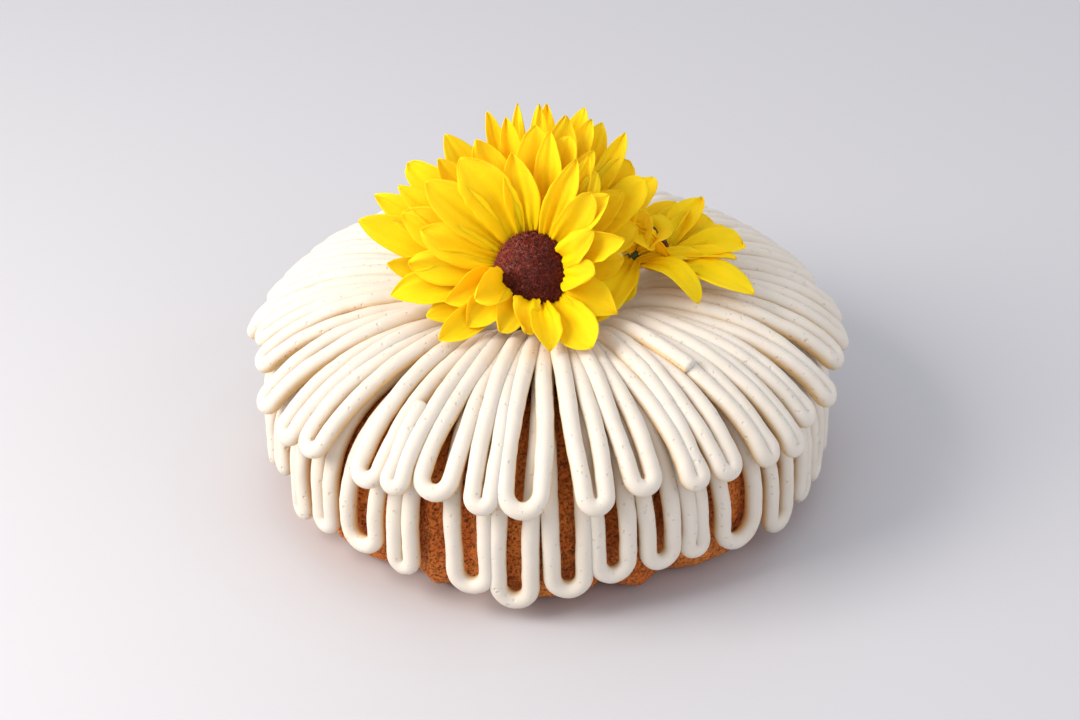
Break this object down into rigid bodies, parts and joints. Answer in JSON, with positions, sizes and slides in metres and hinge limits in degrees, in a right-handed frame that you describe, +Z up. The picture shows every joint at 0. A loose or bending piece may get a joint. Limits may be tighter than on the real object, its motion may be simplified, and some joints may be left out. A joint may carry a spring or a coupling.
{
  "type": "iced ring cake",
  "caption": "Fluted ring cake with two courses of piped cream cheese icing loops and cloth sunflowers standing in its centre hole.",
  "frame": {"origin": "centre of the cake's base, on the surface it stands on", "axes": "+Z up along the ring's axis, -Y towards the viewer that the main flower faces, +X to that viewer's right"},
  "size_m": [0.2897, 0.2868, 0.182],
  "materials": {
    "sponge": "baked sponge crust, browned and porous, matte",
    "icing": "cream cheese icing, ivory, soft satin",
    "petal": "woven polyester petal cloth, lemon to golden yellow",
    "flock": "dark red-brown flock fibres",
    "stem": "green plastic over wire"
  },
  "bodies": {
    "root": {"cake": "sponge", "icing": "icing", "main_petals_1": "petal", "main_petals_2": "petal", "main_petals_3": "petal", "main_petals_4": "petal", "main_disc": "flock", "main_stem": "stem", "side_petals_1": "petal", "side_petals_2": "petal", "side_disc": "flock", "side_stem": "stem"}
  },
  "joints": []
}
